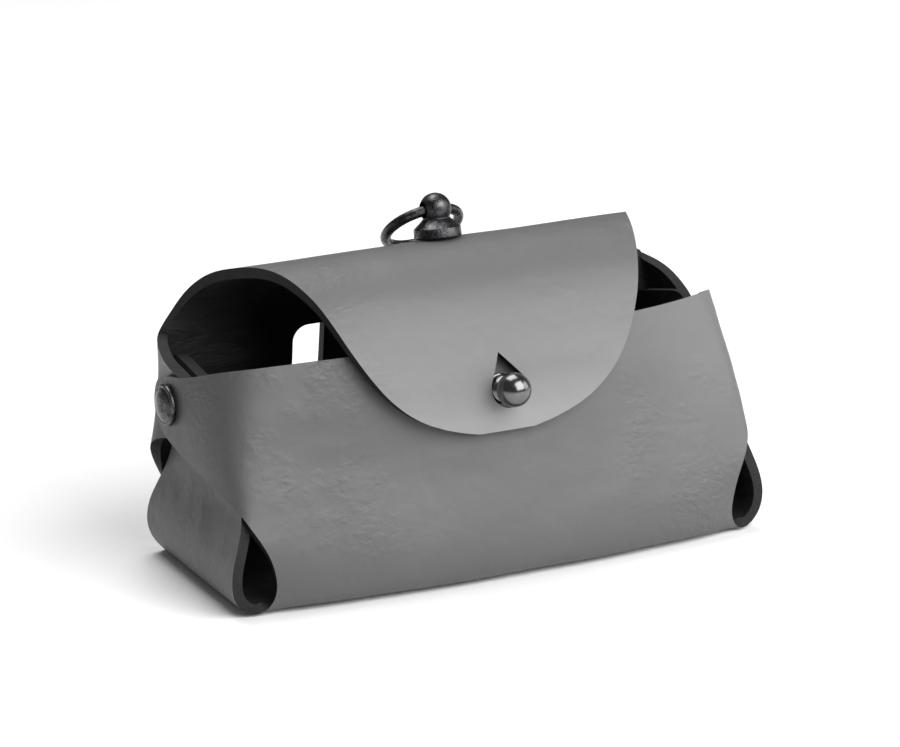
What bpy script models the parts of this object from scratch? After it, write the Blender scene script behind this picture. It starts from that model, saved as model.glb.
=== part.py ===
"""Soft glasses case folded from one sheet of thick leather, with a curved flap, a ball stud,
two end rivets and a ring post with a loose ring.  Metres, +Z up, the flap closes towards -Y."""
import math

import bmesh
import bpy
from mathutils import Matrix, Vector

MM = 0.001
GAP = 0.3 * MM                    # clearance between pieces that touch on the real case
LEATHER = 3.0 * MM                # thickness of the sheet

# Section of the case across its length: height, then distance of the outer face from the middle.
FRONT_SECTION = ((3.6, 39.4), (10.5, 39.2), (19, 36.6), (27, 33.4), (40, 28.7), (53, 26.2), (67, 22.0))
BACK_SECTION = ((4, 34.6), (11, 35.2), (19, 34.8), (27, 34.0), (40, 32.2), (53, 30.4), (66.2, 28.2))
BASE_HALF_DEPTH = 36.0            # where the base starts to curve up, at mid length
PANEL_COLUMNS = (0, 25, 48, 64)   # distances along the length where the panels are measured
PANEL_BOW = 4.0                   # how much nearer the middle a panel's ends are than its centre
HALF_LENGTH = 76.8                # to the corner notches

# Front ear: each column goes up from its lower edge.  It wraps the end outside the back ear.
FRONT_CORNER = ((72.7, -33.5, 5), (73.2, -34, 12), (75.4, -33.6, 18.5), (79.6, -31.5, 25.5),
                (80, -25.5, 40), (77.8, -21, 53.5), (74.5, -16.5, 66.4))
FRONT_EAR = (((82.4, -26.5, 31), (83, -19, 42), (81.2, -14.5, 53.5), (79.6, -10, 64.6)),
             ((85, -13.5, 35), (84.4, -9, 44), (83.4, -6, 53), (82.4, -2.5, 61.8)),
             ((85.3, 0, 37.6), (85, 1, 45), (84.7, 2.5, 52.5), (84.4, 5, 59.6)),
             ((85.3, 10, 40), (85.2, 10.5, 46), (85.1, 11, 52.5), (84.9, 11.5, 58.8)),
             ((85.2, 17, 43), (85.1, 19.8, 47.5), (85, 19.8, 52.5), (84.9, 17.5, 56.8)))

# Back ear: the middle layer of the three that the rivet holds.
BACK_CORNER = ((72.7, 32.5, 5), (73.2, 33, 12), (75.4, 33, 18.5), (79.6, 31.5, 25.5),
               (79.8, 29.8, 40), (79.2, 29, 53.5), (78.2, 28.2, 66.2))
BACK_EAR = (((85.2, 26, 36), (83.4, 25, 43.5), (82, 24.3, 54), (81.2, 23.8, 65.0)),
            ((82, 17, 38.8), (81.6, 17, 45.5), (81.4, 16.5, 54), (81.2, 16, 62.8)),
            ((81.8, 9, 39.8), (81.5, 9, 46), (81.4, 9, 54), (81.3, 8.5, 60.6)),
            ((81.6, 2, 43), (81.4, 0.5, 47.5), (81.3, 0.5, 53), (81.2, 2, 58)))

# End tongue: height, outer face, middle and half width of each row.  It is the innermost layer.
TONGUE_ROWS = ((1.2, 81.4, 0, 31.2), (6.5, 84.6, 0, 31.6), (14.5, 84.2, 0, 31.4), (22.5, 81.2, 0, 28.8),
               (31, 78.6, 1, 23.5), (42, 77.8, 4, 18.5), (52, 77.3, 6, 15.5), (59, 76.8, 7.5, 13.5),
               (62.8, 76.5, 8, 9))

TONGUE_TAPER = 0.6                # how far the tongue's back edge is nearer the middle than its centre

# Flap: depth and height of the outer face, then half width, from the fold over the top to the lip.
FLAP_ROWS = ((28.2, 67.3, 78.2), (27.9, 72.2, 77.0), (25.2, 78.2, 75.0), (20.2, 83.2, 71.5),
             (13.3, 87.1, 67.0), (5.0, 89.0, 60.0), (-3.5, 88.4, 56.0), (-11.5, 85.0, 53.0),
             (-18.0, 79.8, 50.0), (-22.9, 72.9, 47.0), (-27.1, 64.2, 42.4), (-29.7, 56.2, 36.8),
             (-31.0, 49.4, 29.2), (-31.7, 44.7, 19.5), (-32.0, 42.3, 9.0))
FLAP_COLUMNS = (0, 0.35, 0.7, 0.9, 1)

# Strip of the flap that gives way when the stud is buttoned, cut out by a block round its front.
STRIP_HALF_WIDTH = 8.0 * MM
STRIP_TOP = 67.0 * MM
STRIP_BOTTOM = 30.0 * MM
STRIP_FRONT = -50.0 * MM
STRIP_BACK = -15.0 * MM
KEYHOLE_RADIUS = 5.3 * MM
KEYHOLE_POINT = 10.0 * MM         # from the centre of the round part to the upper point

STUD_SEAT = Vector((0, -25.95, 53.1)) * MM
STUD_LEAN = math.radians(12)      # the stud stands square to the leaning front panel
POST_SEAT = Vector((0, 9.6, 87.9)) * MM
POST_LEAN = math.radians(12)      # the post stands square to the top of the arch behind its crest
RIVET_PLACE = Vector((85.45, 10.0, 50.7)) * MM
HOLE_RADIUS = 2.2 * MM            # for the rivets' shafts and the ring post's screw
STUD_HOLE_RADIUS = 2.0 * MM
RIVET_HOLE_LENGTH = 30.0 * MM     # through the three layers of the end
SCREW_HOLE_LENGTH = 12.0 * MM     # through one layer

# Turned outlines in millimetres, radius then height above the leather, from the axis round to the axis.
STUD_BALL_HEIGHT = 9.9
STUD_BALL_RADIUS = 4.9
STUD_COLLAR = ((2.6, 4.6), (3.4, 2.8), (3.6, 1.3), (4.2, 1.1), (4.2, 0.3), (1.6, 0.3), (1.6, 4.5), (0, 4.5))
STUD_SCREW = ((0, 4.0), (1.3, 4.0), (1.3, -3.7), (4.0, -3.7), (4.2, -4.3), (3.4, -4.9), (0, -4.9))
POST_BALL_HEIGHT = 8.5
POST_BALL_RADIUS = 4.6
POST_FLANGE = ((3.7, 4.7), (5.2, 4.0), (6.5, 3.3), (7.0, 2.6), (7.1, 0.6), (6.8, 0.3), (1.6, 0.3),
               (1.6, 3.6), (0, 3.6))
POST_SCREW = ((0, 3.2), (1.3, 3.2), (1.3, -4.3), (4.0, -4.3), (4.2, -4.9), (3.4, -5.5), (0, -5.5))
RIVET_CAP = ((0, 2.6), (2.4, 2.45), (4.4, 1.9), (5.6, 1.0), (6.0, 0.2), (5.7, 0), (1.8, 0), (1.8, -12.4),
             (0, -12.4))
RIVET_BACK = ((0, -12.7), (2.1, -12.7), (2.1, -11.8), (4.3, -11.8), (4.5, -12.3), (4.0, -13.7), (0, -13.7))

RING_RADIUS = 11.0 * MM
RING_WIRE = 1.5 * MM
RING_LEAN = math.radians(30)      # how far the ring droops behind the post at rest
RING_SAG = 0.5 * MM               # how far the wire lies off the middle of the ball it passes through
RING_STEPS = 36
RING_WIRE_STEPS = 12
CROSS_HOLE_RADIUS = 2.4 * MM
CROSS_HOLE_LENGTH = 14.0 * MM

SLOT_INNER = 28.4 * MM
SLOT_WIDTH = 10.0 * MM
SLOT_BOTTOM = 20.0 * MM
SLOT_TOP = 62.8 * MM
SLOT_CORNER = 4.8 * MM
BACK_PANEL_Y = 32.0 * MM          # middle of the cutter that makes a belt slot
PANEL_CUT_DEPTH = 20.0 * MM

BASE_STEPS = 4
ROUND_STEPS = 24
CORNER_STEPS = 4
KEYHOLE_STEPS = 16
BALL_STEPS = 9
MERGE = 0.01 * MM
SHARP_ANGLE = math.radians(50)


def clear_scene():
    for item in list(bpy.data.objects):
        bpy.data.objects.remove(item)


def new_collection(name):
    group = bpy.data.collections.new(name)
    bpy.context.scene.collection.children.link(group)
    return group


def material(name, colour, roughness, metallic):
    made = bpy.data.materials.new(name)
    made.use_nodes = True
    shader = made.node_tree.nodes["Principled BSDF"]
    shader.inputs["Base Color"].default_value = (*colour, 1)
    shader.inputs["Roughness"].default_value = roughness
    shader.inputs["Metallic"].default_value = metallic
    return made


def leather(name):
    return material(name, (0.19, 0.19, 0.19), 0.55, 0.0)


def gunmetal(name):
    return material(name, (0.045, 0.045, 0.05), 0.35, 1.0)


def polished_nickel(name):
    return material(name, (0.22, 0.22, 0.23), 0.12, 1.0)


def add_object(name, mesh, group, finish=None):
    mesh.shade_smooth()
    mesh.set_sharp_from_angle(angle=SHARP_ANGLE)
    item = bpy.data.objects.new(name, mesh)
    group.objects.link(item)
    if finish:
        mesh.materials.append(finish(name))
    return item


def keep_as_guide(item):
    item.hide_render = True
    item.display_type = "WIRE"
    return item


def cut(item, cutter, operation="DIFFERENCE"):
    keep_as_guide(cutter)
    change = item.modifiers.new("cut", "BOOLEAN")
    change.operation = operation
    change.solver = "EXACT"
    change.object = cutter


def add_grid(body, grid):
    """Quads between the rows of a grid of points in millimetres, facing to the right of its rows."""
    rows = [[body.verts.new(Vector(point) * MM) for point in row] for row in grid]
    for low, high in zip(rows, rows[1:]):
        for k in range(len(low) - 1):
            body.faces.new((low[k], low[k + 1], high[k + 1], high[k]))


def leather_sheet(name, grids, group):
    """Half a folded sheet: mirrored across the middle, smoothed, and thickened inwards."""
    body = bmesh.new()
    for grid in grids:
        add_grid(body, grid)
    bmesh.ops.remove_doubles(body, verts=body.verts, dist=MERGE)
    mesh = bpy.data.meshes.new(name)
    body.to_mesh(mesh)
    body.free()
    item = add_object(name, mesh, group, leather)
    mirror = item.modifiers.new("mirror", "MIRROR")
    mirror.merge_threshold = MERGE
    smooth = item.modifiers.new("smooth", "SUBSURF")
    smooth.levels = 1
    smooth.render_levels = 1
    thick = item.modifiers.new("thickness", "SOLIDIFY")
    thick.thickness = LEATHER
    thick.offset = -1
    thick.use_even_offset = True
    return item


def panel_columns(section, corner, side):
    """Columns of a panel from mid length to the corner, each from the base edge to the rim."""
    columns = []
    for x in PANEL_COLUMNS:
        bow = PANEL_BOW * (x / HALF_LENGTH) ** 2
        column = [(x, side * (BASE_HALF_DEPTH - bow), 0)]
        for z, depth in section:
            straight = side > 0 and z == section[-1][0]
            column.append((x, side * (depth - (0 if straight else bow)), z))
        columns.append(column)
    columns.append([(HALF_LENGTH, side * (BASE_HALF_DEPTH - PANEL_BOW), 0), *corner])
    return columns


def base_rows(front, back):
    """Rows of the base, from the front panel's lower edge to the back panel's."""
    starts = [column[0] for column in front]
    ends = [column[0] for column in back]
    rows = []
    for k in range(BASE_STEPS + 1):
        share = k / BASE_STEPS
        rows.append([tuple(Vector(a).lerp(Vector(b), share)) for a, b in zip(starts, ends)])
    return rows


def tongue_rows(edge):
    """Rows of the end tongue, from the base's end up to the rounded top."""
    rows = [edge]
    last = len(edge) - 1
    for z, x, middle, half in TONGUE_ROWS:
        across = [2 * k / last - 1 for k in range(len(edge))]
        rows.append([(x - TONGUE_TAPER * k, middle + half * k, z) for k in across])
    return rows


def body_leather(group, tools):
    front = panel_columns(FRONT_SECTION, FRONT_CORNER, -1)
    back = panel_columns(BACK_SECTION, BACK_CORNER, 1)
    base = base_rows(front, back)
    ear_front = [FRONT_CORNER[3:], *FRONT_EAR]
    ear_back = [BACK_CORNER[3:], *BACK_EAR]
    tongue = tongue_rows([row[-1] for row in base])
    grids = [list(zip(*front)), list(zip(*back[::-1])), base[::-1],
             list(zip(*ear_front)), list(zip(*ear_back[::-1])), tongue]
    item = leather_sheet("leather_body", grids, group)
    for side in (-1, 1):
        hole = round_bar(f"rivet_hole_{side}", HOLE_RADIUS, RIVET_HOLE_LENGTH, tools)
        hole.matrix_world = rivet_frame(side)
        cut(item, hole)
        cut(item, belt_slot(side, tools))
    stud_hole = round_bar("stud_hole", STUD_HOLE_RADIUS, SCREW_HOLE_LENGTH, tools)
    stud_hole.matrix_world = stud_frame()
    cut(item, stud_hole)


def flap_sheet(name, group):
    grid = [[(share * half, y, z) for share in FLAP_COLUMNS] for y, z, half in FLAP_ROWS]
    return leather_sheet(name, [grid[::-1]], group)


def box(name, low, high, group):
    body = bmesh.new()
    bmesh.ops.create_cube(body, size=1)
    size = Vector(high) - Vector(low)
    middle = (Vector(high) + Vector(low)) / 2
    bmesh.ops.transform(body, matrix=Matrix.Translation(middle) @ Matrix.Diagonal((*size, 1)),
                        verts=body.verts)
    mesh = bpy.data.meshes.new(name)
    body.to_mesh(mesh)
    body.free()
    return add_object(name, mesh, group)


def strip_box(name, margin, tools):
    half = STRIP_HALF_WIDTH + margin
    return box(name, (-half, STRIP_FRONT, STRIP_BOTTOM), (half, STRIP_BACK, STRIP_TOP + margin), tools)


def flap_leather(group, tools):
    flap = flap_sheet("leather_flap", group)
    cut(flap, strip_box("strip_gap", GAP, tools))
    hole = round_bar("post_hole", HOLE_RADIUS, SCREW_HOLE_LENGTH, tools)
    hole.matrix_world = post_frame()
    cut(flap, hole)
    strip = flap_sheet("flap_buttonhole_strip", group)
    cut(strip, strip_box("strip_outline", 0, tools), "INTERSECT")
    cut(strip, keyhole(tools))


def prism(name, outline, depth, group):
    """Straight solid on an outline in the XY plane, centred on it."""
    body = bmesh.new()
    loop = [body.verts.new((x, y, -depth / 2)) for x, y in outline]
    face = body.faces.new(loop)
    raised = bmesh.ops.extrude_face_region(body, geom=[face])["geom"]
    top = [part for part in raised if isinstance(part, bmesh.types.BMVert)]
    bmesh.ops.translate(body, verts=top, vec=(0, 0, depth))
    bmesh.ops.recalc_face_normals(body, faces=body.faces)
    mesh = bpy.data.meshes.new(name)
    body.to_mesh(mesh)
    body.free()
    return add_object(name, mesh, group)


def arc(radius, start, end, steps, centre=(0, 0)):
    points = []
    for k in range(steps + 1):
        angle = math.radians(start + (end - start) * k / steps)
        points.append((centre[0] + radius * math.cos(angle), centre[1] + radius * math.sin(angle)))
    return points


def stud_frame():
    """Frame on the front panel's face whose Z axis is the stud's axis."""
    return Matrix.Translation(STUD_SEAT) @ Matrix.Rotation(math.pi / 2 - STUD_LEAN, 4, "X")


def post_frame():
    """Frame on the flap's face whose Z axis is the ring post's axis."""
    return Matrix.Translation(POST_SEAT) @ Matrix.Rotation(-POST_LEAN, 4, "X")


def rivet_frame(side):
    """Frame on the front ear's face whose Z axis points out of the end."""
    x, y, z = RIVET_PLACE
    return Matrix.Translation((side * x, y, z)) @ Matrix.Rotation(side * math.pi / 2, 4, "Y")


def keyhole(tools):
    """Teardrop with a round lower part and straight sides that meet in a point above it."""
    spread = math.degrees(math.acos(KEYHOLE_RADIUS / KEYHOLE_POINT))
    outline = [*arc(KEYHOLE_RADIUS, 90 + spread, 450 - spread, KEYHOLE_STEPS), (0, KEYHOLE_POINT)]
    item = prism("keyhole", outline, PANEL_CUT_DEPTH, tools)
    item.matrix_world = stud_frame()
    return item


def belt_slot(side, tools):
    """Upright slot with a straight inner side and rounded outer corners."""
    middle = SLOT_INNER + SLOT_WIDTH - SLOT_CORNER
    outline = [(SLOT_INNER, SLOT_BOTTOM),
               *arc(SLOT_CORNER, -90, 0, CORNER_STEPS, (middle, SLOT_BOTTOM + SLOT_CORNER)),
               *arc(SLOT_CORNER, 0, 90, CORNER_STEPS, (middle, SLOT_TOP - SLOT_CORNER)),
               (SLOT_INNER, SLOT_TOP)]
    item = prism(f"belt_slot_{side}", [(side * x, z) for x, z in outline], PANEL_CUT_DEPTH, tools)
    item.matrix_world = Matrix.Translation((0, BACK_PANEL_Y, 0)) @ Matrix.Rotation(math.pi / 2, 4, "X")
    return item


def round_bar(name, radius, length, group):
    body = bmesh.new()
    bmesh.ops.create_cone(body, cap_ends=True, segments=ROUND_STEPS, radius1=radius,
                          radius2=radius, depth=length)
    mesh = bpy.data.meshes.new(name)
    body.to_mesh(mesh)
    body.free()
    return add_object(name, mesh, group)


def ball_outline(radius, height, end):
    """Outline of a ball from its top down to an angle below its middle."""
    return [(0, height + radius), *arc(radius, 78, end, BALL_STEPS, (0, height))]


def revolved(name, profile, group, finish):
    """Solid of revolution about Z, from an outline in millimetres."""
    body = bmesh.new()
    points = [body.verts.new(Vector((r, 0, z)) * MM) for r, z in profile]
    for a, b in zip(points, points[1:]):
        body.edges.new((a, b))
    mesh = bpy.data.meshes.new(name)
    body.to_mesh(mesh)
    body.free()
    item = add_object(name, mesh, group, finish)
    turn = item.modifiers.new("turn", "SCREW")
    turn.steps = ROUND_STEPS
    turn.render_steps = ROUND_STEPS
    turn.use_merge_vertices = True
    turn.merge_threshold = MERGE
    return item


def closure_stud(group):
    """Ball on a stepped collar; its blind bore takes the screw from inside the case."""
    ball = ball_outline(STUD_BALL_RADIUS, STUD_BALL_HEIGHT, -58)
    item = revolved("closure_stud", [*ball, *STUD_COLLAR], group, polished_nickel)
    item.matrix_world = stud_frame()


def closure_screw(group):
    item = revolved("closure_stud_screw", STUD_SCREW, group, gunmetal)
    item.matrix_world = stud_frame()


def ball_frame():
    """The post's frame raised to the middle of its ball, where the ring swings."""
    return post_frame() @ Matrix.Translation((0, 0, POST_BALL_HEIGHT * MM))


def ring_post(group, tools):
    """Flanged post with a cross-drilled ball on top, and a blind bore for its screw."""
    ball = ball_outline(POST_BALL_RADIUS, POST_BALL_HEIGHT, -45)
    item = revolved("ring_post", [*ball, *POST_FLANGE], group, gunmetal)
    item.matrix_world = post_frame()
    hole = round_bar("cross_hole", CROSS_HOLE_RADIUS, CROSS_HOLE_LENGTH, tools)
    hole.matrix_world = ball_frame() @ Matrix.Rotation(math.pi / 2, 4, "Y")
    cut(item, hole)


def ring_post_screw(group):
    item = revolved("ring_post_screw", POST_SCREW, group, gunmetal)
    item.matrix_world = post_frame()


def ring(group):
    """Round ring through the post's ball, drooping behind the post; its origin is the ball's centre."""
    body = bmesh.new()
    section = bmesh.ops.create_circle(body, segments=RING_WIRE_STEPS, radius=RING_WIRE)["verts"]
    bmesh.ops.rotate(body, verts=section, matrix=Matrix.Rotation(math.pi / 2, 3, "X"))
    bmesh.ops.translate(body, verts=section, vec=(RING_RADIUS, 0, 0))
    bmesh.ops.spin(body, geom=body.verts[:] + body.edges[:], axis=(0, 0, 1), steps=RING_STEPS,
                   angle=2 * math.pi)
    bmesh.ops.remove_doubles(body, verts=body.verts, dist=MERGE)
    bmesh.ops.recalc_face_normals(body, faces=body.faces)
    bmesh.ops.translate(body, verts=body.verts, vec=(0, RING_RADIUS - RING_SAG, 0))
    mesh = bpy.data.meshes.new("o_ring")
    body.to_mesh(mesh)
    body.free()
    item = add_object("o_ring", mesh, group, gunmetal)
    item.matrix_world = ball_frame() @ Matrix.Rotation(-RING_LEAN, 4, "X")


def rivet(side, label, group):
    """Domed cap and shaft from outside, and a flat back cap pressed on it inside the tongue."""
    for name, profile in ((f"rivet_cap_{label}", RIVET_CAP), (f"rivet_back_{label}", RIVET_BACK)):
        item = revolved(name, profile, group, gunmetal)
        item.matrix_world = rivet_frame(side)


def main():
    clear_scene()
    group = new_collection("soft_glasses_case")
    tools = new_collection("cutters")
    body_leather(group, tools)
    flap_leather(group, tools)
    closure_stud(group)
    closure_screw(group)
    ring_post(group, tools)
    ring_post_screw(group)
    ring(group)
    rivet(-1, "left", group)
    rivet(1, "right", group)


main()
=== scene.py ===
import math

import bmesh
import bpy
from mathutils import Matrix, Vector, noise


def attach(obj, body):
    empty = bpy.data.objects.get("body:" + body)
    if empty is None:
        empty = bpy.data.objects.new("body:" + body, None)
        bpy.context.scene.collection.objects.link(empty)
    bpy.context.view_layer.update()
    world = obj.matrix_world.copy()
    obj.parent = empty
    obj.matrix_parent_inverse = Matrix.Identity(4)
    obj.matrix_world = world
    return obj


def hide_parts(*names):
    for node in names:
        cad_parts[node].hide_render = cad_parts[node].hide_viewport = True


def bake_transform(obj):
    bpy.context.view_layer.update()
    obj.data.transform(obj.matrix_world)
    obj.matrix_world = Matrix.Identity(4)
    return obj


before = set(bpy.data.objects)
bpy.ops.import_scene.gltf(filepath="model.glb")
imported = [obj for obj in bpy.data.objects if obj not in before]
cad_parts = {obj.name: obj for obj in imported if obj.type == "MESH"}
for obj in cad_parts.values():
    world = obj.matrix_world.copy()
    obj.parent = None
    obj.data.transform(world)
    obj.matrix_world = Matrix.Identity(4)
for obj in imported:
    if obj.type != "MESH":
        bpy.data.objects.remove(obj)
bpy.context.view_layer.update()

MM = 0.001
SIDES = (-1, 1)

# Leather, in millimetres.  A section is (height, depth of the outer face) from the base to the rim.
LEATHER = 3.0
FRONT_SECTION = ((3.6, 39.4), (10.5, 39.2), (19, 36.6), (27, 33.4), (40, 28.7), (53, 26.2), (67, 22.0))
BACK_SECTION = ((4, 34.6), (11, 35.2), (19, 34.8), (27, 34.0), (40, 32.2), (53, 30.4), (66.2, 28.2))
BASE_HALF_DEPTH = 36.0
PANEL_COLUMNS = (0, 25, 48, 64)
PANEL_BOW = 4.0
HALF_LENGTH = 76.8
BASE_ROWS = 4

FRONT_CORNER = ((72.7, -33.5, 5), (73.2, -34, 12), (75.4, -33.6, 18.5), (79.6, -31.5, 25.5),
                (80, -25.5, 40), (77.8, -21, 53.5), (74.5, -16.5, 66.4))
FRONT_EAR = (((82.4, -26.5, 31), (83, -19, 42), (81.2, -14.5, 53.5), (79.6, -10, 64.6)),
             ((85, -13.5, 35), (84.4, -9, 44), (83.4, -6, 53), (82.4, -2.5, 61.8)),
             ((85.3, 0, 37.6), (85, 1, 45), (84.7, 2.5, 52.5), (84.4, 5, 59.6)),
             ((85.3, 10, 40), (85.2, 10.5, 46), (85.1, 11, 52.5), (84.9, 11.5, 58.8)),
             ((85.2, 17, 43), (85.1, 19.8, 47.5), (85, 19.8, 52.5), (84.9, 17.5, 56.8)))
BACK_CORNER = ((72.7, 32.5, 5), (73.2, 33, 12), (75.4, 33, 18.5), (79.6, 31.5, 25.5),
               (79.8, 29.8, 40), (79.2, 29, 53.5))
BACK_EAR = (((85.2, 26, 36), (83.4, 25, 43.5), (82, 24.3, 54)),
            ((82, 17, 38.8), (81.6, 17, 45.5), (81.4, 16.5, 54)),
            ((81.8, 9, 39.8), (81.5, 9, 46), (81.4, 9, 54)),
            ((81.6, 2, 43), (81.4, 0.5, 47.5), (81.3, 0.5, 53)))
TONGUE_ROWS = ((1.4, 80.8, 0, 31.2), (6.8, 84.4, 0, 31.6), (14.5, 84.2, 0, 31.4), (22.5, 81.2, -0.5, 29.5),
               (31, 78.6, -1, 25.5), (42, 77.8, 4, 18.5), (52, 77.3, 6, 15.5), (59, 76.8, 10, 14.5),
               (62.8, 76.6, 11.5, 11.5))
TONGUE_TAPER = 0.6

# The real sheet isn't quite even: its right rim is pinched in, and the rims behind differ in height.
RIGHT_PINCH = Vector((1.8, 4.5, 1.6))
PINCH_START, PINCH_RISE = 40, 27
PINCH_BACK, PINCH_FADE = 5, 15     # the pinch fades out towards this depth, over this distance
CORNER_POWER, BACK_POWER = 8, 3    # how closely the pinch keeps to the corner, outwards and backwards
LEFT_SKEW, SKEW_TOP = 1.4, 42
TONGUE_TOPS = {-1: (1.2, -2.6, 1.4), 1: (0.3, -0.8, -2.6)}    # shift out, shift up, rise to the back
TONGUE_TOP_POWER = 4
BACK_RIMS = {-1: ((79.8, 28.2, 66.4), (82.6, 22.3, 64.2), (83.4, 15.5, 60.6), (83.8, 8.5, 60.2),
                  (83.2, 2, 58.5)),
             1: ((76.8, 27.6, 69.3), (79.6, 22.3, 68.2), (80.7, 15.3, 66.4), (81.0, 8.5, 63.6),
                 (81.2, 2, 59.5))}
# Depth and height of the flap's outer face, then its half widths left and right: it sits a little askew.
FLAP_ROWS = ((27.9, 72.2, 75.3, 73.3), (25.2, 78.2, 72.8, 70.5), (20.2, 83.2, 70.0, 67.5),
             (13.3, 87.1, 66.6, 63.5), (5.0, 89.0, 60.0, 59.2), (-3.5, 88.4, 56.0, 56.0),
             (-11.5, 85.0, 53.0, 53.0), (-18.0, 79.8, 50.0, 50.0), (-22.9, 72.9, 47.0, 47.0),
             (-27.1, 64.2, 42.4, 42.4), (-29.7, 56.2, 36.8, 36.8), (-31.0, 49.4, 29.2, 29.2),
             (-31.7, 44.7, 19.5, 19.5), (-32.0, 42.3, 9.0, 9.0))
FLAP_COLUMNS = (0, 0.35, 0.7, 0.9, 1)
SMOOTH_LEVELS = 3
WAVE_LENGTH, WAVE_HEIGHT = 26 * MM, 0.28 * MM
CREASE_SIZE, CREASE_HEIGHT = Vector((24, 7, 7)), 0.12 * MM
CREASE_OFFSET = Vector((7, 3, 1))
EDGE_ROUNDING = 0.3 * MM          # the width asked for, which the bevel's clamp cuts down
SHARP_ANGLE = math.radians(50)
SLIVER = 0.12 * MM
WELD = 0.01 * MM

KEYHOLE_RADIUS = 5.6 * MM
KEYHOLE_POINT = 10.6 * MM
KEYHOLE_SHIFT = 1.6 * MM          # the flap hangs with the stud at one side of its hole
KEYHOLE_LEAN = math.radians(11)
KEYHOLE_START = 0.13 * MM         # between the front panel's face and the flap's inner face
KEYHOLE_DEPTH = 8 * MM
SLOT_INNER = 28.4 * MM
SLOT_WIDTH = 10.0 * MM
SLOT_BOTTOM = 20.0 * MM
SLOT_TOP = 62.8 * MM
SLOT_CORNER = 4.8 * MM
SLOT_DEPTH, SLOT_MIDDLE = 20 * MM, 32 * MM

STUD_SEAT = Vector((0, -25.95, 53.1)) * MM
STUD_LEAN = math.radians(12)
POST_SEAT = Vector((0, 9.6, 87.9)) * MM
POST_LEAN = math.radians(12)
POST_BALL = 8.5 * MM
RING_LEAN = math.radians(30)
RING_RADIUS = 11.0 * MM
RING_WIRE = 1.5 * MM
RIVET_SEAT = Vector((85.45, 10, 50.7)) * MM
HOLE_RADIUS = 2.2 * MM
STUD_HOLE_DEPTH = 7 * MM
POST_HOLE_DEPTH = 12 * MM
RIVET_HOLE_DEPTH = 26 * MM

# Hardware outlines in millimetres: a ball or dome, then the points below it, out and back to the axis.
STUD_BALL, STUD_BALL_HEIGHT = 4.9, 9.9
STUD_COLLAR = ((2.6, 5.2), (2.8, 4.8), (3.7, 4.4), (3.9, 4.1), (3.9, 2.7), (3.6, 2.4), (3.6, 1.9),
               (4.3, 1.6), (4.3, 0.3), (1.6, 0.3), (1.6, 4.5), (0, 4.5))
POST_BALL_RADIUS = 4.6
POST_FLANGE = ((4.1, 5.6), (4.6, 5.0), (5.4, 4.3), (6.3, 3.5), (6.8, 3.1), (6.85, 0.6), (6.6, 0.3),
               (1.6, 0.3), (1.6, 3.2), (0, 3.2))
POST_BORE_RADIUS, POST_BORE_DEPTH = 2.4 * MM, 14 * MM
RIVET_DOME, RIVET_DOME_HEIGHT = 9.6, -6.9
RIVET_RIM = ((5.0, 1.1), (5.25, 1.25), (5.65, 1.25), (5.95, 0.95), (6.0, 0.2), (5.7, 0),
             (1.8, 0), (1.8, -12.4), (0, -12.4))
HARDWARE_ROUNDING, RIVET_ROUNDING = 0.15, 0.2
TURNED_STEPS, RING_STEPS, WIRE_STEPS = 72, 96, 24

# Faces of the lower piece and of the flap piece carry different slots of the one folded sheet.
LOWER, UPPER = 0, 1
INNER, EDGE = 2, 4

# Studio and camera.
FLOOR_HALF = 6.0
ROOM_BRIGHTNESS = 0.16
CASE_MIDDLE = (0, 0, 0.05)
CAMERA_AZIMUTH = math.radians(-28)
CAMERA_ELEVATION = math.radians(17.2)
CAMERA_DISTANCE = 1.4
CAMERA_LENS = 196
CAMERA_HEIGHT = 0.045
CAMERA_LEFT, CAMERA_UP = 0.00114, 0.00497


# ---------------------------------------------------------------- materials

def new_material(name, roughness, metallic=0.0):
    material = bpy.data.materials.new(name)
    material.use_nodes = True
    shader = material.node_tree.nodes["Principled BSDF"]
    shader.inputs["Roughness"].default_value = roughness
    shader.inputs["Metallic"].default_value = metallic
    return material, material.node_tree, shader


def rest_place(tree, stretch=(1, 1, 1)):
    """Where a point of the leather lies at rest, so that the grain doesn't slide when it bends."""
    place = tree.nodes.new("ShaderNodeAttribute")
    place.attribute_name = "rest_place"
    scaled = tree.nodes.new("ShaderNodeVectorMath")
    scaled.operation = "MULTIPLY"
    scaled.inputs[1].default_value = stretch
    tree.links.new(place.outputs["Vector"], scaled.inputs[0])
    return scaled.outputs["Vector"]


def object_place(tree):
    return tree.nodes.new("ShaderNodeTexCoord").outputs["Object"]


def grain(tree, place, scale, detail, roughness, distortion=0.0):
    """Cloudy noise, finer for a larger scale."""
    texture = tree.nodes.new("ShaderNodeTexNoise")
    texture.inputs["Scale"].default_value = scale
    texture.inputs["Detail"].default_value = detail
    texture.inputs["Roughness"].default_value = roughness
    texture.inputs["Distortion"].default_value = distortion
    tree.links.new(place, texture.inputs["Vector"])
    return texture.outputs["Fac"]


def spread(tree, value, low, high, out_low=0.0, out_high=1.0):
    """The value's range from low to high, stretched to the range from out_low to out_high."""
    change = tree.nodes.new("ShaderNodeMapRange")
    change.inputs["From Min"].default_value = low
    change.inputs["From Max"].default_value = high
    change.inputs["To Min"].default_value = out_low
    change.inputs["To Max"].default_value = out_high
    tree.links.new(value, change.inputs["Value"])
    return change.outputs["Result"]


def product(tree, a, b):
    step = tree.nodes.new("ShaderNodeMath")
    step.operation = "MULTIPLY"
    tree.links.new(a, step.inputs[0])
    tree.links.new(b, step.inputs[1])
    return step.outputs["Value"]


def colour_between(tree, value, dark, light):
    ramp = tree.nodes.new("ShaderNodeValToRGB")
    ramp.color_ramp.elements[0].color = (*dark, 1)
    ramp.color_ramp.elements[1].color = (*light, 1)
    tree.links.new(value, ramp.inputs["Fac"])
    return ramp.outputs["Color"]


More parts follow.
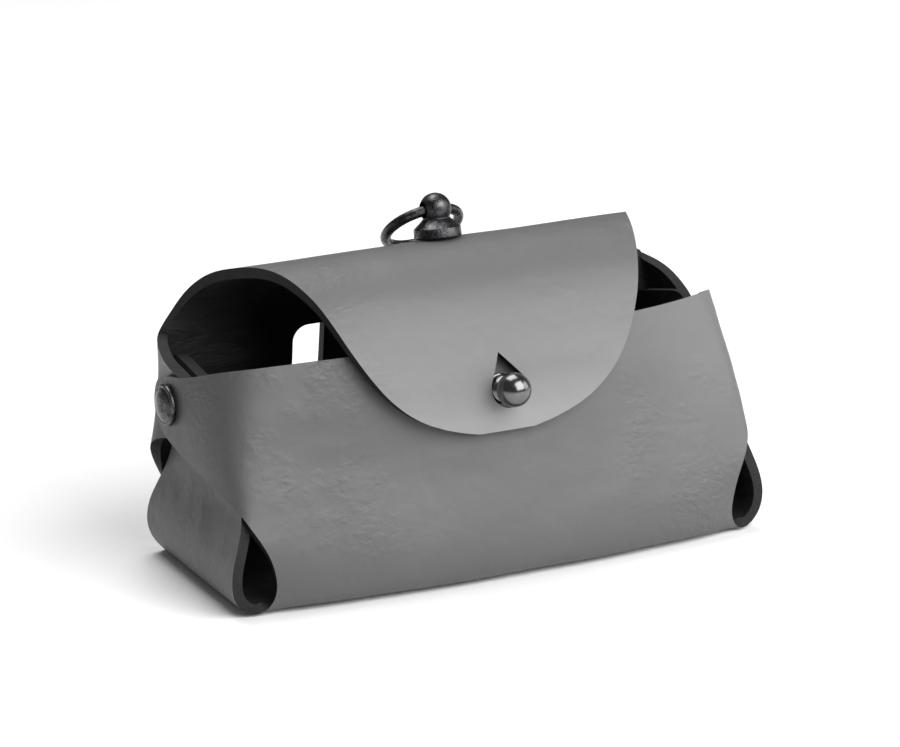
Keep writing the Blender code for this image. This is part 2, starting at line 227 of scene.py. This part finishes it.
def add_bump(tree, height, distance, under=None):
    bump = tree.nodes.new("ShaderNodeBump")
    bump.inputs["Distance"].default_value = distance
    tree.links.new(height, bump.inputs["Height"])
    if under:
        tree.links.new(under, bump.inputs["Normal"])
    return bump.outputs["Normal"]


def ridges(tree, noise_value, width):
    """Thin lines where the noise crosses its middle: 1 on the line, 0 beyond its width."""
    centred = tree.nodes.new("ShaderNodeMath")
    centred.operation = "SUBTRACT"
    centred.inputs[1].default_value = 0.5
    tree.links.new(noise_value, centred.inputs[0])
    distance = tree.nodes.new("ShaderNodeMath")
    distance.operation = "ABSOLUTE"
    tree.links.new(centred.outputs["Value"], distance.inputs[0])
    return spread(tree, distance.outputs["Value"], 0, width, 1, 0)


def rest_axes(tree):
    """A point's X, Y and Z at rest, apart."""
    axes = tree.nodes.new("ShaderNodeSeparateXYZ")
    tree.links.new(rest_place(tree), axes.inputs["Vector"])
    return axes.outputs


def bend_mask(tree):
    """1 where the panels turn towards the ears, and the leather has wrinkled; little at mid length."""
    length = tree.nodes.new("ShaderNodeMath")
    length.operation = "ABSOLUTE"
    tree.links.new(rest_axes(tree)["X"], length.inputs[0])
    rise = spread(tree, length.outputs["Value"], 34 * MM, 57 * MM, 0.12, 1)
    fall = spread(tree, length.outputs["Value"], 66 * MM, 78 * MM, 1, 0.4)
    return product(tree, rise, fall)


def painted_light_upper_right(tree):
    """Painted light: the lower piece is paler towards its upper right, standing in for the light that falls
    from the upper right.
    """
    axes = rest_axes(tree)
    right = spread(tree, axes["X"], 10 * MM, 62 * MM)
    upper = spread(tree, axes["Z"], 14 * MM, 52 * MM)
    return spread(tree, product(tree, right, upper), 0, 1, 1, 1.5)


def painted_sheen_to_lip(tree):
    """Painted light and sheen: the flap is paler from its top down to its lip, standing in for the front
    light's sheen there.
    """
    lip = spread(tree, rest_axes(tree)["Z"], 88 * MM, 46 * MM)
    return spread(tree, product(tree, lip, lip), 0, 1, 1.25, 2.85)


def grey_leather(name, painted_light_factor):
    """Smooth leather with a soft sheen, fine pores, and shallow wrinkles where it has been bent."""
    material, tree, shader = new_material(name, 0.5)
    pores = grain(tree, rest_place(tree), 1500, 3, 0.7)
    crackle = ridges(tree, grain(tree, rest_place(tree, (0.6, 1, 1)), 260, 1.5, 0.4, 1.2), 0.09)
    dimples = grain(tree, rest_place(tree, (0.7, 1, 1)), 600, 1.2, 0.35, 0.4)
    waves = grain(tree, rest_place(tree), 70, 2, 0.5, 0.4)
    patches = spread(tree, grain(tree, rest_place(tree), 42, 3, 0.55), 0.42, 0.66)
    worn = product(tree, patches, bend_mask(tree))
    clouds = grain(tree, rest_place(tree), 24, 3, 0.5)
    # The tone is random clouds times painted light from the given function; the ramp runs up to 3 to hold
    # the painted light.
    tone = product(tree, spread(tree, clouds, 0.3, 0.7, 0.95, 1.05), painted_light_factor(tree))
    colour = colour_between(tree, spread(tree, tone, 0.8, 3), (0.07, 0.07, 0.071), (0.262, 0.262, 0.265))
    tree.links.new(colour, shader.inputs["Base Color"])
    tree.links.new(spread(tree, dimples, 0.3, 0.7, 0.5, 0.44), shader.inputs["Roughness"])
    normal = add_bump(tree, waves, 0.5 * MM)
    normal = add_bump(tree, product(tree, dimples, worn), 0.65 * MM, under=normal)
    normal = add_bump(tree, product(tree, crackle, worn), 0.06 * MM, under=normal)
    normal = add_bump(tree, pores, 0.035 * MM, under=normal)
    tree.links.new(normal, shader.inputs["Normal"])
    return material


def inner_leather():
    """Flesh side, dyed near black, with a fibrous nap."""
    material, tree, shader = new_material("inner_leather", 0.5)
    fibres = grain(tree, rest_place(tree, (0.5, 1, 1.3)), 130, 4, 0.6, 1.0)
    tone = colour_between(tree, spread(tree, fibres, 0.3, 0.7), (0.008, 0.008, 0.008), (0.02, 0.02, 0.02))
    tree.links.new(tone, shader.inputs["Base Color"])
    tree.links.new(add_bump(tree, fibres, 0.6 * MM), shader.inputs["Normal"])
    shader.inputs["Specular IOR Level"].default_value = 0.3
    return material


def edge_leather():
    """Burnished cut edge, dark, with fine fibres."""
    material, tree, shader = new_material("edge_leather", 0.6)
    shader.inputs["Specular IOR Level"].default_value = 0.25
    fibres = grain(tree, rest_place(tree), 900, 5, 0.7)
    tone = colour_between(tree, spread(tree, fibres, 0.3, 0.7), (0.007, 0.007, 0.007), (0.017, 0.017, 0.017))
    tree.links.new(tone, shader.inputs["Base Color"])
    tree.links.new(add_bump(tree, fibres, 0.2 * MM), shader.inputs["Normal"])
    return material


def worn_gunmetal():
    """Dark plating with a fine cast grain, a little brighter where it has been handled."""
    material, tree, shader = new_material("worn_gunmetal", 0.3, 1.0)
    wear = grain(tree, object_place(tree), 420, 5, 0.75)
    grains = grain(tree, object_place(tree), 1500, 4, 0.7)
    tone = colour_between(tree, spread(tree, wear, 0.38, 0.64), (0.03, 0.03, 0.032), (0.12, 0.12, 0.124))
    tree.links.new(tone, shader.inputs["Base Color"])
    tree.links.new(spread(tree, wear, 0.3, 0.7, 0.32, 0.2), shader.inputs["Roughness"])
    tree.links.new(add_bump(tree, grains, 0.12 * MM), shader.inputs["Normal"])
    return material


def black_nickel():
    """Polished plating with the faintest haze of handling."""
    material, tree, shader = new_material("black_nickel", 0.1, 1.0)
    haze = grain(tree, object_place(tree), 400, 5, 0.7)
    tone = colour_between(tree, spread(tree, haze, 0.3, 0.7), (0.13, 0.13, 0.132), (0.18, 0.18, 0.182))
    tree.links.new(tone, shader.inputs["Base Color"])
    tree.links.new(spread(tree, haze, 0.3, 0.7, 0.17, 0.23), shader.inputs["Roughness"])
    return material


# ---------------------------------------------------------------- mesh helpers

def add_object(name, mesh):
    item = bpy.data.objects.new(name, mesh)
    bpy.context.scene.collection.objects.link(item)
    return item


def bake_modifiers(item):
    """Works the modifiers into the mesh."""
    bpy.context.view_layer.update()
    shown = item.evaluated_get(bpy.context.evaluated_depsgraph_get())
    mesh = bpy.data.meshes.new_from_object(shown)
    item.modifiers.clear()
    item.data = mesh


def arc(radius, start, end, steps, centre=(0, 0)):
    """Points along an arc, with its angles in degrees."""
    points = []
    for k in range(steps + 1):
        angle = math.radians(start + (end - start) * k / steps)
        points.append((centre[0] + radius * math.cos(angle), centre[1] + radius * math.sin(angle)))
    return points


def ball_arc(radius, end, steps, height):
    """Top of a ball or dome, from its pole, which lies exactly on the axis, down to the angle end."""
    return [(0, height + radius), *arc(radius, 90, end, steps, (0, height))[1:]]


def prism(name, outline, depth, slot=0):
    """Straight solid on an outline in the XY plane, centred on it, all in one material slot."""
    body = bmesh.new()
    loop = [body.verts.new((x, y, -depth / 2)) for x, y in outline]
    face = body.faces.new(loop)
    raised = bmesh.ops.extrude_face_region(body, geom=[face])["geom"]
    top = [part for part in raised if isinstance(part, bmesh.types.BMVert)]
    bmesh.ops.translate(body, verts=top, vec=(0, 0, depth))
    bmesh.ops.recalc_face_normals(body, faces=body.faces)
    for side in body.faces:
        side.material_index = slot
    mesh = bpy.data.meshes.new(name)
    body.to_mesh(mesh)
    body.free()
    return add_object(name, mesh)


def cut(item, cutter):
    change = item.modifiers.new("cut", "BOOLEAN")
    change.solver = "EXACT"
    change.object = cutter


def turned(name, profile, place, finish, rounding=HARDWARE_ROUNDING):
    """Solid of revolution about Z from a profile in millimetres, top of the axis first."""
    body = bmesh.new()
    points = [body.verts.new((r * MM, 0, z * MM)) for r, z in profile]
    edges = [body.edges.new(pair) for pair in zip(points, points[1:])]
    bmesh.ops.spin(body, geom=points + edges, axis=(0, 0, 1), steps=TURNED_STEPS, angle=2 * math.pi)
    bmesh.ops.remove_doubles(body, verts=body.verts, dist=0.001 * MM)
    bmesh.ops.recalc_face_normals(body, faces=body.faces)
    mesh = bpy.data.meshes.new(name)
    body.to_mesh(mesh)
    body.free()
    mesh.shade_smooth()
    mesh.materials.append(finish)
    item = add_object(name, mesh)
    item.matrix_world = place
    bevel = item.modifiers.new("rounding", "BEVEL")
    bevel.width = rounding * MM
    bevel.segments = 2
    bevel.limit_method = "ANGLE"
    bevel.angle_limit = math.radians(28)
    return item


# ---------------------------------------------------------------- leather

def panel_columns(section, corner, side):
    """Columns of a panel from mid length to the corner, each from the base edge to the rim."""
    columns = []
    for x in PANEL_COLUMNS:
        bow = PANEL_BOW * (x / HALF_LENGTH) ** 2
        column = [(x, side * (BASE_HALF_DEPTH - bow), 0)]
        for z, depth in section:
            straight = side > 0 and z == section[-1][0]
            column.append((x, side * (depth - (0 if straight else bow)), z))
        columns.append(column)
    columns.append([(HALF_LENGTH, side * (BASE_HALF_DEPTH - PANEL_BOW), 0), *corner])
    return columns


def base_rows(front, back):
    """Rows of the base between the lower edges of the front and back panels."""
    rows = []
    for k in range(BASE_ROWS + 1):
        share = k / BASE_ROWS
        rows.append([tuple(Vector(a[0]).lerp(Vector(b[0]), share)) for a, b in zip(front, back)])
    return rows


def tongue_rows(edge, side):
    """Rows of an end tongue, from the end of the base up to the tongue's top."""
    rows = [edge]
    last = len(edge) - 1
    for z, x, middle, half in TONGUE_ROWS:
        across = [2 * k / last - 1 for k in range(len(edge))]
        skew = LEFT_SKEW * max(0, 1 - z / SKEW_TOP) if side < 0 else 0
        share = (z / TONGUE_ROWS[-1][0]) ** TONGUE_TOP_POWER
        flare, lift, tilt = (shift * share for shift in TONGUE_TOPS[side])
        rows.append([(x + flare - (TONGUE_TAPER + skew) * k, middle + half * k, z + lift + tilt * k)
                     for k in across])
    return rows


def add_grid(body, grid, side, part):
    """Quads between the rows of a grid of points in millimetres, for one side of the case."""
    rows = [[body.verts.new(Vector((side * x, y, z)) * MM) for x, y, z in row] for row in grid]
    for low, high in zip(rows, rows[1:]):
        for k in range(len(low) - 1):
            corners = (low[k], low[k + 1], high[k + 1], high[k])
            face = body.faces.new(corners if side > 0 else corners[::-1])
            face.material_index = part


def pinched(column):
    """A column of the front or of its ear, with its upper corner drawn back, out and up."""
    moved = []
    for x, y, z in column:
        front = min(1, max(0, (PINCH_BACK - y) / PINCH_FADE))
        rise = max(0, (z - PINCH_START) / PINCH_RISE) * front
        along = min(1, x / HALF_LENGTH)
        moved.append((x + RIGHT_PINCH.x * rise * along ** CORNER_POWER,
                      y + RIGHT_PINCH.y * rise * along ** BACK_POWER,
                      z + RIGHT_PINCH.z * rise * along ** CORNER_POWER))
    return moved


def half_cage(body, side):
    """Right half of the folded sheet, or its mirror image: panels, base, ears, tongue and flap."""
    rim = BACK_RIMS[side]
    back_corner = (*BACK_CORNER, rim[0])
    front = panel_columns(FRONT_SECTION, FRONT_CORNER, -1)
    back = panel_columns(BACK_SECTION, back_corner, 1)
    base = base_rows(front, back)
    tongue = tongue_rows([row[-1] for row in base], side)
    ear_front = [FRONT_CORNER[3:], *FRONT_EAR]
    if side > 0:
        front = [pinched(column) for column in front]
        ear_front = [pinched(column) for column in ear_front]
    ear_back = [back_corner[3:], *[(*column, top) for column, top in zip(BACK_EAR, rim[1:])]]
    back_rows = list(zip(*back[::-1]))
    flap = [[(share * half[side > 0], y, z) for share in FLAP_COLUMNS] for y, z, *half in FLAP_ROWS]
    top_row = back_rows[-1][::-1]
    add_grid(body, list(zip(*front)), side, LOWER)
    add_grid(body, back_rows, side, LOWER)
    add_grid(body, base[::-1], side, LOWER)
    add_grid(body, list(zip(*ear_front)), side, LOWER)
    add_grid(body, list(zip(*ear_back[::-1])), side, LOWER)
    add_grid(body, tongue, side, LOWER)
    add_grid(body, [top_row, *flap][::-1], side, UPPER)


def leather_cage():
    """The whole folded sheet as a coarse cage, both halves joined."""
    body = bmesh.new()
    for side in SIDES:
        half_cage(body, side)
    bmesh.ops.remove_doubles(body, verts=body.verts, dist=WELD)
    mesh = bpy.data.meshes.new("sheet")
    body.to_mesh(mesh)
    body.free()
    return add_object("sheet", mesh)


def ripple(point):
    """Height of the slow undulation and soft creases of thick leather, in metres."""
    wave = noise.noise(point / WAVE_LENGTH)
    across = Vector(value / size for value, size in zip(point, CREASE_SIZE)) / MM
    return WAVE_HEIGHT * wave + CREASE_HEIGHT * noise.noise(across + CREASE_OFFSET)


def soften(item):
    """Smooths the cage and gives the sheet its undulation."""
    smooth = item.modifiers.new("smooth", "SUBSURF")
    smooth.levels = SMOOTH_LEVELS
    smooth.render_levels = SMOOTH_LEVELS
    bake_modifiers(item)
    normals = [vertex.normal.copy() for vertex in item.data.vertices]
    for vertex, normal in zip(item.data.vertices, normals):
        vertex.co += normal * ripple(vertex.co)


def thicken(item):
    """Gives the sheet its thickness, inwards from the outer face."""
    thick = item.modifiers.new("thickness", "SOLIDIFY")
    thick.thickness = LEATHER * MM
    thick.offset = -1
    thick.use_even_offset = True
    thick.use_quality_normals = True
    thick.material_offset = INNER
    thick.material_offset_rim = EDGE


def stud_frame():
    """Frame on the front panel's face whose Z axis is the stud's axis."""
    return Matrix.Translation(STUD_SEAT) @ Matrix.Rotation(math.pi / 2 - STUD_LEAN, 4, "X")


def post_frame():
    """Frame on the flap's face whose Z axis is the ring post's axis."""
    return Matrix.Translation(POST_SEAT) @ Matrix.Rotation(-POST_LEAN, 4, "X")


def rivet_frame(side):
    """Frame on an ear's face whose Z axis is the rivet's axis."""
    seat = Vector((side * RIVET_SEAT.x, RIVET_SEAT.y, RIVET_SEAT.z))
    return Matrix.Translation(seat) @ Matrix.Rotation(side * math.pi / 2, 4, "Y")


def keyhole_cutter():
    """Teardrop with a round lower part and straight sides that meet in a point above it."""
    spread_angle = math.degrees(math.acos(KEYHOLE_RADIUS / KEYHOLE_POINT))
    outline = [*arc(KEYHOLE_RADIUS, 90 + spread_angle, 450 - spread_angle, 40), (0, KEYHOLE_POINT)]
    cutter = prism("keyhole", outline, KEYHOLE_DEPTH, EDGE + UPPER)
    middle = KEYHOLE_START + KEYHOLE_DEPTH / 2
    cutter.matrix_world = (stud_frame() @ Matrix.Translation((KEYHOLE_SHIFT, 0, middle))
                           @ Matrix.Rotation(KEYHOLE_LEAN, 4, "Z"))
    return cutter


def slot_cutter(side):
    """Upright slot with a straight inner side and rounded outer corners."""
    outer = SLOT_INNER + SLOT_WIDTH
    outline = [(SLOT_INNER, SLOT_BOTTOM),
               *arc(SLOT_CORNER, -90, 0, 12, (outer - SLOT_CORNER, SLOT_BOTTOM + SLOT_CORNER)),
               *arc(SLOT_CORNER, 0, 90, 12, (outer - SLOT_CORNER, SLOT_TOP - SLOT_CORNER)),
               (SLOT_INNER, SLOT_TOP)]
    cutter = prism(f"slot_{side}", [(side * x, z) for x, z in outline], SLOT_DEPTH, EDGE + LOWER)
    cutter.matrix_world = Matrix.Translation((0, SLOT_MIDDLE, 0)) @ Matrix.Rotation(math.pi / 2, 4, "X")
    return cutter


def hole_cutter(name, place, depth, part):
    cutter = prism(name, arc(HOLE_RADIUS, 0, 345, 23), depth, EDGE + part)
    cutter.matrix_world = place
    return cutter


def cut_openings(item):
    """Cuts the keyhole, the belt slots and the holes for the hardware."""
    cutters = [keyhole_cutter(),
               hole_cutter("stud_hole", stud_frame(), STUD_HOLE_DEPTH, LOWER),
               hole_cutter("post_hole", post_frame(), POST_HOLE_DEPTH, UPPER)]
    for side in SIDES:
        cutters.append(slot_cutter(side))
        cutters.append(hole_cutter(f"rivet_hole_{side}", rivet_frame(side), RIVET_HOLE_DEPTH, LOWER))
    for cutter in cutters:
        cut(item, cutter)
    bake_modifiers(item)
    for cutter in cutters:
        bpy.data.objects.remove(cutter)


def merge_slivers(item):
    """Joins the points that the cuts left almost on top of each other."""
    body = bmesh.new()
    body.from_mesh(item.data)
    bmesh.ops.remove_doubles(body, verts=body.verts, dist=SLIVER)
    bmesh.ops.dissolve_degenerate(body, edges=body.edges, dist=SLIVER)
    body.to_mesh(item.data)
    body.free()


def round_edges(item):
    """Bevels the cut edges.  The short edges beside the cuts clamp its width to almost nothing."""
    item.data.shade_smooth()
    item.data.set_sharp_from_angle(angle=SHARP_ANGLE)
    bevel = item.modifiers.new("rounded edges", "BEVEL")
    bevel.width = EDGE_ROUNDING
    bevel.segments = 2
    bevel.limit_method = "ANGLE"
    bevel.angle_limit = SHARP_ANGLE
    bevel.harden_normals = True
    bake_modifiers(item)


def facing(normal, face_normal):
    """A corner's normal, or its face's own where the narrow faces beside a cut turn it over."""
    return normal.copy() if normal.dot(face_normal) > 0.3 else face_normal.copy()


def take_part(item, name, part, finishes):
    """One piece of the sheet, which keeps the whole sheet's shading where the two meet."""
    whole = item.data
    kept = [face for face in whole.polygons if face.material_index % 2 == part]
    normals = [facing(whole.corner_normals[k].vector, face.normal)
               for face in kept for k in face.loop_indices]
    body = bmesh.new()
    body.from_mesh(whole)
    others = [face for face in body.faces if face.material_index % 2 != part]
    bmesh.ops.delete(body, geom=others, context="FACES")
    for face in body.faces:
        face.material_index //= 2
    seam = [edge for edge in body.edges if edge.is_boundary]
    closed = bmesh.ops.holes_fill(body, edges=seam, sides=0)["faces"]
    for face in closed:
        face.material_index = EDGE // 2
        normals += [Vector()] * len(face.verts)
    mesh = whole.copy()
    mesh.name = name
    mesh.materials.clear()
    for finish in finishes:
        mesh.materials.append(finish)
    body.to_mesh(mesh)
    body.free()
    mesh.normals_split_custom_set(normals)
    places = mesh.attributes.new("rest_place", "FLOAT_VECTOR", "POINT")
    for vertex, place in zip(mesh.vertices, places.data):
        place.vector = vertex.co
    return add_object(name, mesh)


def leather_pieces():
    """The folded sheet, parted in two where the flap begins, behind the mouth."""
    inner, edge = inner_leather(), edge_leather()
    # The two grey leathers are lit copies of one leather: each paints in its own light, paler at the lower
    # piece's upper right and towards the flap's lip.
    body_finishes = (grey_leather("grey_leather", painted_light_upper_right), inner, edge)
    flap_finishes = (grey_leather("grey_leather_flap", painted_sheen_to_lip), inner, edge)
    sheet = leather_cage()
    soften(sheet)
    for pair in zip(body_finishes, flap_finishes):
        for finish in pair:
            sheet.data.materials.append(finish)
    thicken(sheet)
    cut_openings(sheet)
    merge_slivers(sheet)
    round_edges(sheet)
    lower = take_part(sheet, "leather_case_sheet", LOWER, body_finishes)
    upper = take_part(sheet, "leather_flap_sheet", UPPER, flap_finishes)
    bpy.data.objects.remove(sheet)
    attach(lower, "case")
    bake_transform(upper)
    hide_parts("leather_body")
    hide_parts("leather_flap", "flap_buttonhole_strip")


# ---------------------------------------------------------------- hardware

def closure_stud(finish):
    """Polished ball on a stepped collar."""
    profile = [*ball_arc(STUD_BALL, -60, 40, STUD_BALL_HEIGHT), *STUD_COLLAR]
    stud = turned("stud", profile, stud_frame(), finish)
    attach(stud, "case")
    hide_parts("closure_stud")


def ring_post(finish):
    """Flanged post with a drilled ball on top."""
    profile = [*ball_arc(POST_BALL_RADIUS, -34, 34, POST_BALL / MM), *POST_FLANGE]
    post = turned("post", profile, post_frame(), finish)
    drill = prism("drill", arc(POST_BORE_RADIUS, 0, 352.5, 47), POST_BORE_DEPTH)
    drill.matrix_world = (post_frame() @ Matrix.Translation((0, 0, POST_BALL))
                          @ Matrix.Rotation(math.pi / 2, 4, "Y"))
    cut(post, drill)
    bake_modifiers(post)
    bpy.data.objects.remove(drill)
    post.data.set_sharp_from_angle(angle=math.radians(40))
    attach(post, "flap")
    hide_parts("ring_post")


def loose_ring(finish):
    """Round ring threaded through the post's ball."""
    body = bmesh.new()
    section = bmesh.ops.create_circle(body, segments=WIRE_STEPS, radius=RING_WIRE)["verts"]
    bmesh.ops.rotate(body, verts=section, matrix=Matrix.Rotation(math.pi / 2, 3, "X"))
    bmesh.ops.translate(body, verts=section, vec=(RING_RADIUS, 0, 0))
    bmesh.ops.spin(body, geom=body.verts[:] + body.edges[:], axis=(0, 0, 1), steps=RING_STEPS,
                   angle=2 * math.pi)
    bmesh.ops.remove_doubles(body, verts=body.verts, dist=WELD)
    bmesh.ops.translate(body, verts=body.verts, vec=(0, RING_RADIUS, 0))
    bmesh.ops.recalc_face_normals(body, faces=body.faces)
    mesh = bpy.data.meshes.new("ring")
    body.to_mesh(mesh)
    body.free()
    mesh.shade_smooth()
    mesh.materials.append(finish)
    ring = add_object("ring", mesh)
    ring.matrix_world = (post_frame() @ Matrix.Translation((0, 0, POST_BALL))
                         @ Matrix.Rotation(-RING_LEAN, 4, "X"))
    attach(ring, "ring")
    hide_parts("o_ring")


def rivet_caps(finish):
    """Shallow domed caps with a rolled rim."""
    profile = [*ball_arc(RIVET_DOME, 60, 16, RIVET_DOME_HEIGHT), *RIVET_RIM]
    for side, label in zip(SIDES, ("left", "right")):
        cap = turned(f"rivet_dome_{label}", profile, rivet_frame(side), finish, RIVET_ROUNDING)
        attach(cap, "case")
        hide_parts(f"rivet_cap_{label}")


def dress_kept_nodes(finish):
    """The screws and the rivets' back caps keep the frame's own shape."""
    for node in ("closure_stud_screw", "ring_post_screw", "rivet_back_left", "rivet_back_right"):
        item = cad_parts[node]
        for slot in item.material_slots:
            slot.link = "OBJECT"
            slot.material = finish


# ---------------------------------------------------------------- studio

def plain(name, colour, roughness=0.9):
    material, _, shader = new_material(name, roughness)
    shader.inputs["Base Color"].default_value = (*colour, 1)
    return material


def floor():
    mesh = bpy.data.meshes.new("floor")
    corners = [(-FLOOR_HALF, -FLOOR_HALF, 0), (FLOOR_HALF, -FLOOR_HALF, 0),
               (FLOOR_HALF, FLOOR_HALF, 0), (-FLOOR_HALF, FLOOR_HALF, 0)]
    mesh.from_pydata(corners, [], [(0, 1, 2, 3)])
    mesh.materials.append(plain("floor_white", (0.95, 0.95, 0.95)))
    add_object("floor", mesh)


def soft_light(name, place, target, size, power):
    data = bpy.data.lights.new(name, "AREA")
    data.shape = "RECTANGLE"
    data.size, data.size_y = size
    data.energy = power
    light = bpy.data.objects.new(name, data)
    bpy.context.scene.collection.objects.link(light)
    light.location = place
    light.rotation_euler = (Vector(target) - Vector(place)).to_track_quat("-Z", "Y").to_euler()


def studio():
    """A large soft front light above the case, weaker ones at the right and overhead, and a dim room."""
    world = bpy.data.worlds.new("studio")
    world.use_nodes = True
    background = world.node_tree.nodes["Background"]
    background.inputs["Color"].default_value = (1, 1, 1, 1)
    background.inputs["Strength"].default_value = ROOM_BRIGHTNESS
    bpy.context.scene.world = world
    soft_light("front_light", (0.35, -0.95, 0.85), CASE_MIDDLE, (1.2, 1.2), 22)
    soft_light("right_light", (1.15, -0.45, 0.5), CASE_MIDDLE, (0.8, 0.8), 5)
    soft_light("top_light", (0, 0.55, 1.3), CASE_MIDDLE, (1.0, 1.0), 13)


def camera():
    level = math.cos(CAMERA_ELEVATION)
    back = Vector((math.sin(CAMERA_AZIMUTH) * level, -math.cos(CAMERA_AZIMUTH) * level,
                   math.sin(CAMERA_ELEVATION)))
    right = Vector((math.cos(CAMERA_AZIMUTH), math.sin(CAMERA_AZIMUTH), 0))
    up = back.cross(right)
    data = bpy.data.cameras.new("camera")
    data.lens = CAMERA_LENS
    item = bpy.data.objects.new("camera", data)
    bpy.context.scene.collection.objects.link(item)
    aim = Vector((0, 0, CAMERA_HEIGHT)) - CAMERA_LEFT * right + CAMERA_UP * up
    item.location = aim + back * CAMERA_DISTANCE
    item.rotation_euler = (-back).to_track_quat("-Z", "Y").to_euler()
    data.clip_start, data.clip_end = 0.05, 20
    bpy.context.scene.camera = item
    bpy.context.scene.view_settings.view_transform = "Standard"


gunmetal_finish = worn_gunmetal()
leather_pieces()
closure_stud(black_nickel())
ring_post(gunmetal_finish)
loose_ring(gunmetal_finish)
rivet_caps(gunmetal_finish)
dress_kept_nodes(gunmetal_finish)
floor()
studio()
camera()
